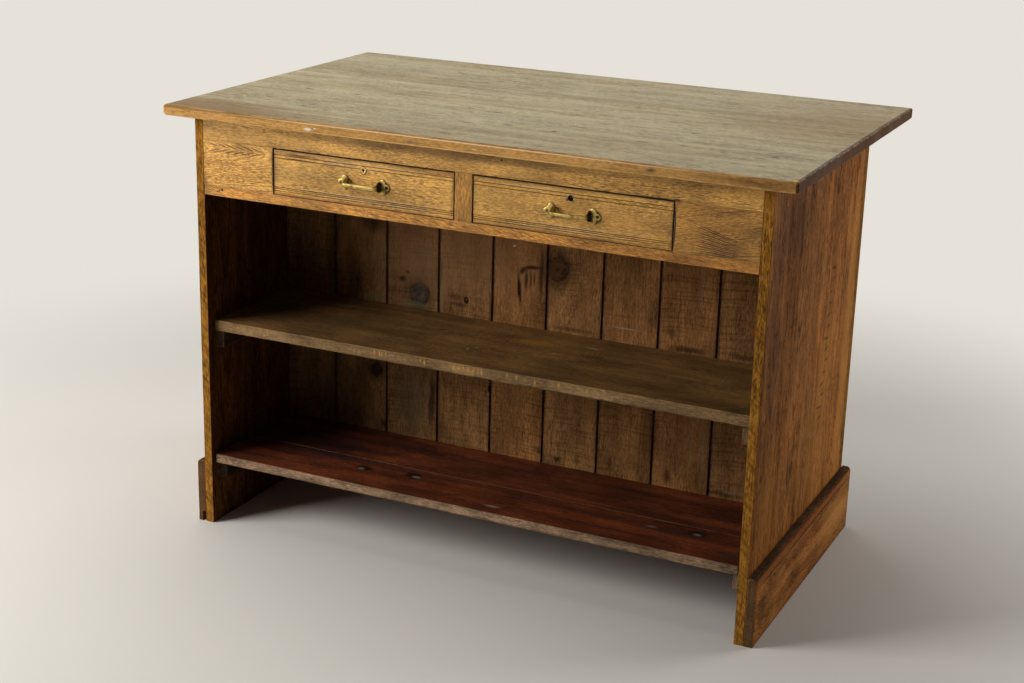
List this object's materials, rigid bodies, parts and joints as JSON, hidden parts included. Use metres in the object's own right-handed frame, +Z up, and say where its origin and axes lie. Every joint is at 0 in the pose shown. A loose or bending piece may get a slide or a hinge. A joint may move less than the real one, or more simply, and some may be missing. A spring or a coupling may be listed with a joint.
{
  "type": "kitchen island",
  "caption": "Antique boarded oak kitchen island with brass-pull drawers in the apron, open shelves against a plank partition, plinthed end panels and a knee space behind.",
  "frame": {"origin": "on the floor, under the middle of the top", "axes": "+X along the length to the right, +Y to the back, +Z up; the drawers open towards -Y"},
  "size_m": [1.325, 0.817, 0.914],
  "materials": {
    "top_oak": "worn greyish tan oak, satin, with dark checks",
    "honey_oak": "golden oak under old shellac, satin",
    "brown_oak": "brown stained oak, satin",
    "sawn_pine": "circular-sawn brown pine, matt",
    "shelf_pine": "olive-brown varnished pine",
    "red_pine": "red-brown stained pine",
    "raw_wood": "bare aged softwood, matt",
    "brass": "rubbed cast brass with dark recesses",
    "steel": "dull grey steel"
  },
  "bodies": {
    "carcass": {"top_board_1": "top_oak", "top_board_2": "top_oak", "top_board_3": "top_oak", "top_board_4": "top_oak", "top_board_5": "top_oak", "left_end_panel": "brown_oak", "right_end_panel": "brown_oak", "left_rear_stile": "brown_oak", "right_rear_stile": "brown_oak", "rear_rail": "brown_oak", "left_plinth_board": "brown_oak", "right_plinth_board": "brown_oak", "top_rail": "honey_oak", "lower_rail": "honey_oak", "left_filler": "honey_oak", "centre_muntin": "honey_oak", "right_filler": "honey_oak", "back_board_01": "sawn_pine", "back_board_02": "sawn_pine", "back_board_03": "sawn_pine", "back_board_04": "sawn_pine", "back_board_05": "sawn_pine", "back_board_06": "sawn_pine", "back_board_07": "sawn_pine", "back_board_08": "sawn_pine", "back_board_09": "sawn_pine", "back_board_10": "sawn_pine", "middle_shelf": "shelf_pine", "bottom_shelf_front_board": "red_pine", "bottom_shelf_rear_board": "red_pine", "left_middle_cleat": "raw_wood", "right_middle_cleat": "raw_wood", "left_bottom_cleat": "raw_wood", "right_bottom_cleat": "raw_wood", "runner_batten": "raw_wood", "top_batten": "raw_wood", "left_runner": "raw_wood", "centre_runner": "raw_wood", "right_runner": "raw_wood", "left_kicker": "raw_wood", "right_kicker": "raw_wood"},
    "left_drawer": {"left_drawer_front": "honey_oak", "left_drawer_left_side": "raw_wood", "left_drawer_right_side": "raw_wood", "left_drawer_back": "raw_wood", "left_drawer_bottom": "raw_wood", "left_drawer_lock": "steel", "left_drawer_pull": "brass", "left_pull_left_screw": "brass", "left_pull_right_screw": "brass", "left_keyhole_escutcheon": "brass"},
    "right_drawer": {"right_drawer_front": "honey_oak", "right_drawer_left_side": "raw_wood", "right_drawer_right_side": "raw_wood", "right_drawer_back": "raw_wood", "right_drawer_bottom": "raw_wood", "right_drawer_lock": "steel", "right_drawer_pull": "brass", "right_pull_left_screw": "brass", "right_pull_right_screw": "brass"}
  },
  "joints": [
    {"name": "left_drawer_slide", "type": "slide", "parent": "carcass", "child": "left_drawer", "axis": [0, -1, 0], "range_m": [0, 0.22]},
    {"name": "right_drawer_slide", "type": "slide", "parent": "carcass", "child": "right_drawer", "axis": [0, -1, 0], "range_m": [0, 0.22]}
  ]
}
